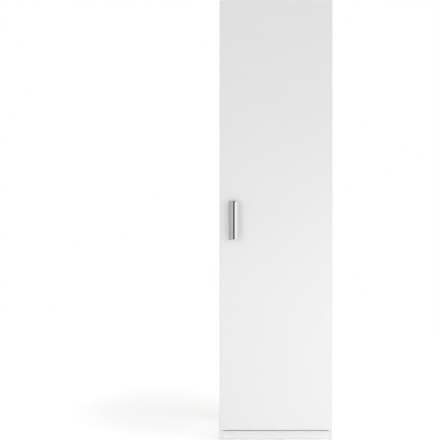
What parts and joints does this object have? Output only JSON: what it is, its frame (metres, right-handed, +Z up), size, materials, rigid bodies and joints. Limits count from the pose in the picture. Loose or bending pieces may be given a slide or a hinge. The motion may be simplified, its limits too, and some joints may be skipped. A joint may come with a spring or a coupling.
{
  "type": "broom cupboard",
  "caption": "Tall plain white broom cupboard with a full-height hinged door, an upright metal bow handle, and a broom bay, shelf bay and upper shelf inside.",
  "frame": {"origin": "on the floor, at the middle of the whole outline with the handle", "axes": "+X to the right seen from the front, the front and handle face -Y, +Z up"},
  "size_m": [0.5, 0.428, 1.976],
  "materials": {
    "white_board": "white melamine-faced board, fine satin",
    "back_board": "thin hardboard, white inside, brown outside",
    "edge_band": "white edge band, satin",
    "handle_metal": "chrome plated",
    "hinge_steel": "nickel plated",
    "screw_steel": "zinc plated",
    "cam_zinc": "die-cast zinc",
    "bracket_steel": "zinc plated sheet",
    "dowel_wood": "fluted beech",
    "white_plastic": "moulded, satin",
    "glide_plastic": "moulded",
    "buffer_rubber": "soft, translucent"
  },
  "bodies": {
    "carcass": {"back_panel": "back_board", "back_panel_nails": "screw_steel", "bottom_panel": "white_board", "cam_bolts": "screw_steel", "cam_covers": "white_plastic", "cam_locks": "cam_zinc", "carcass_edge_bands": "edge_band", "dowels": "dowel_wood", "fixed_shelf": "white_board", "floor_glides": "glide_plastic", "hinge_arm_1": "hinge_steel", "hinge_arm_2": "hinge_steel", "hinge_arm_3": "hinge_steel", "hinge_arm_4": "hinge_steel", "hinge_arm_screws": "screw_steel", "hinge_plate_1": "hinge_steel", "hinge_plate_2": "hinge_steel", "hinge_plate_3": "hinge_steel", "hinge_plate_4": "hinge_steel", "hinge_plate_screws": "screw_steel", "left_side_panel": "white_board", "partition": "white_board", "partition_screws": "screw_steel", "plinth_block_screws": "screw_steel", "plinth_blocks": "white_plastic", "plinth_board": "white_board", "right_side_panel": "white_board", "shelf_edge_bands": "edge_band", "shelf_pins": "screw_steel", "small_shelf_1": "white_board", "small_shelf_2": "white_board", "small_shelf_3": "white_board", "top_panel": "white_board", "wall_bracket": "bracket_steel", "wall_bracket_screws": "screw_steel"},
    "door": {"door_buffers": "buffer_rubber", "door_edge_bands": "edge_band", "door_panel": "white_board", "handle": "handle_metal", "handle_screws": "screw_steel", "hinge_cup_1": "hinge_steel", "hinge_cup_2": "hinge_steel", "hinge_cup_3": "hinge_steel", "hinge_cup_4": "hinge_steel", "hinge_cup_screws": "screw_steel", "hinge_pins": "hinge_steel", "hinge_springs": "hinge_steel"}
  },
  "joints": [
    {"name": "door_swing", "type": "hinge", "parent": "carcass", "child": "door", "pos_m": [0.242, -0.177, 0.997], "axis": [0, 0, 1], "range_deg": [0, 105]}
  ]
}
